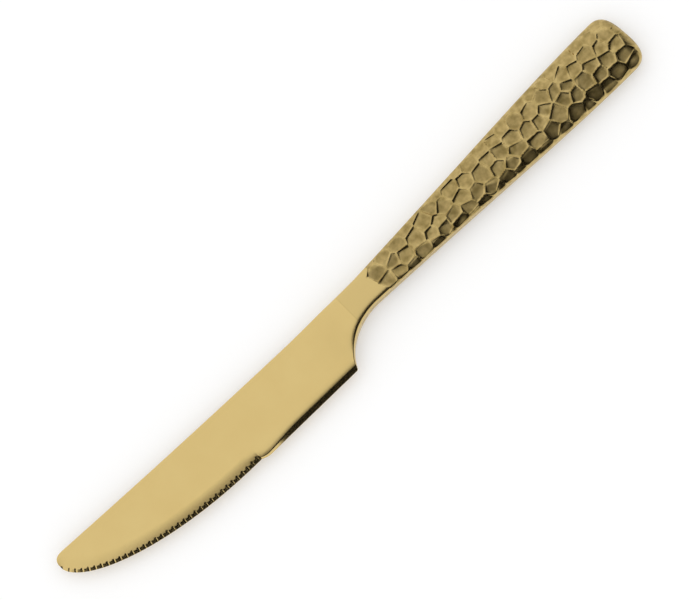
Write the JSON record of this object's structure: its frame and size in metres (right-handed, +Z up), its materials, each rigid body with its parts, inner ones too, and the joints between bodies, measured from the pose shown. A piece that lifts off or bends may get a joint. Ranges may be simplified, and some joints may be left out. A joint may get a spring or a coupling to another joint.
{
  "type": "dessert knife",
  "caption": "Gold-coloured dessert knife with a serrated round-nosed blade, a smooth neck and a hammered, tapering hollow handle.",
  "frame": {"origin": "centre of the knife's box in plan, on the table that it lies on", "axes": "+X from the blade's tip to the butt of the handle, +Y towards the spine, +Z up through the toothed cheek"},
  "size_m": [0.21, 0.0227, 0.007],
  "materials": {
    "blade_steel": "polished, gold-coloured vapour coating",
    "handle_steel": "hammered, gold-coloured vapour coating",
    "brazing_metal": "ground flush and coated",
    "handle_cement": "dull, set cement"
  },
  "bodies": {
    "root": {"blade": "blade_steel", "handle_upper_shell": "handle_steel", "handle_lower_shell": "handle_steel", "handle_seam_braze": "brazing_metal", "neck_braze": "brazing_metal", "handle_filler": "handle_cement"}
  },
  "joints": []
}
